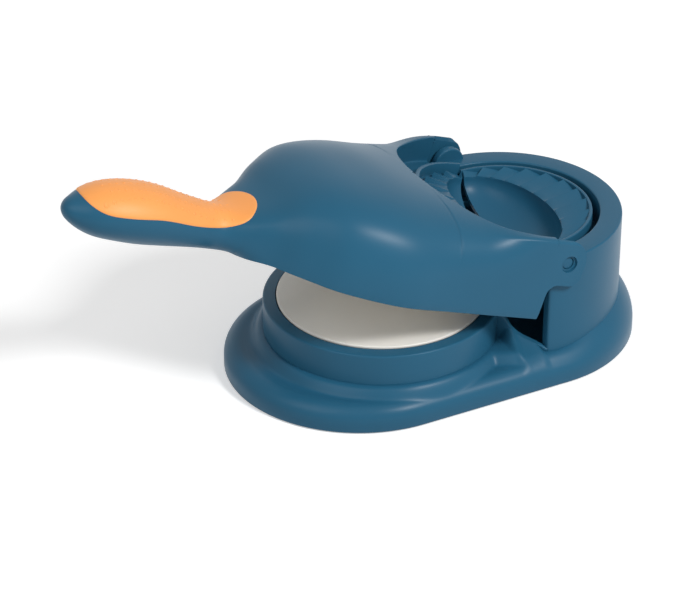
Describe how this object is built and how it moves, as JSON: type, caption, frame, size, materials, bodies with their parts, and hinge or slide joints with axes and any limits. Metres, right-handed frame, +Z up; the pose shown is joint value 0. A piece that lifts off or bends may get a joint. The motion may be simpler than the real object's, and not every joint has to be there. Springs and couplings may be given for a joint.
{
  "type": "dumpling maker",
  "caption": "Hand dumpling maker with a hinged arm: it presses dough between round plates, then folds a pleated mould half onto the fixed half in the base.",
  "frame": {"origin": "on the table, under the middle of the bounding box, with the arm at its rest angle", "axes": "+Z up from the table, -X along the handle, +X towards the mould, Y along the hinge"},
  "size_m": [0.262, 0.1166, 0.1151],
  "materials": {
    "base_shell": "satin",
    "base_cover": "fine matt",
    "press_arm_shell": "satin",
    "mould_halves": "satin",
    "plate_carrier": "fine matt",
    "press_plates": "satin",
    "handle_grip": "soft matt with fine raised dots",
    "hinge_pins": "satin",
    "foot_pads": "matt",
    "screws": "plain zinc"
  },
  "bodies": {
    "base": {"base_shell": "base_shell", "base_cover": "base_cover", "base_cover_screws": "screws", "foot_pad_1": "foot_pads", "foot_pad_2": "foot_pads", "foot_pad_3": "foot_pads", "foot_pad_4": "foot_pads", "lower_press_plate": "press_plates", "lower_plate_screws": "screws", "fixed_mould_half": "mould_halves", "fixed_mould_screws": "screws", "hinge_pin_near": "hinge_pins", "hinge_pin_far": "hinge_pins"},
    "press_arm": {"press_arm_shell": "press_arm_shell", "handle_grip": "handle_grip", "plate_carrier": "plate_carrier", "plate_carrier_screws": "screws", "upper_press_plate": "press_plates", "moving_mould_half": "mould_halves", "moving_mould_screws": "screws"}
  },
  "joints": [
    {"name": "arm_hinge", "type": "hinge", "parent": "base", "child": "press_arm", "pos_m": [0.0727, 0, 0.0564], "axis": [0, 1, 0], "range_deg": [-20, 160]}
  ]
}
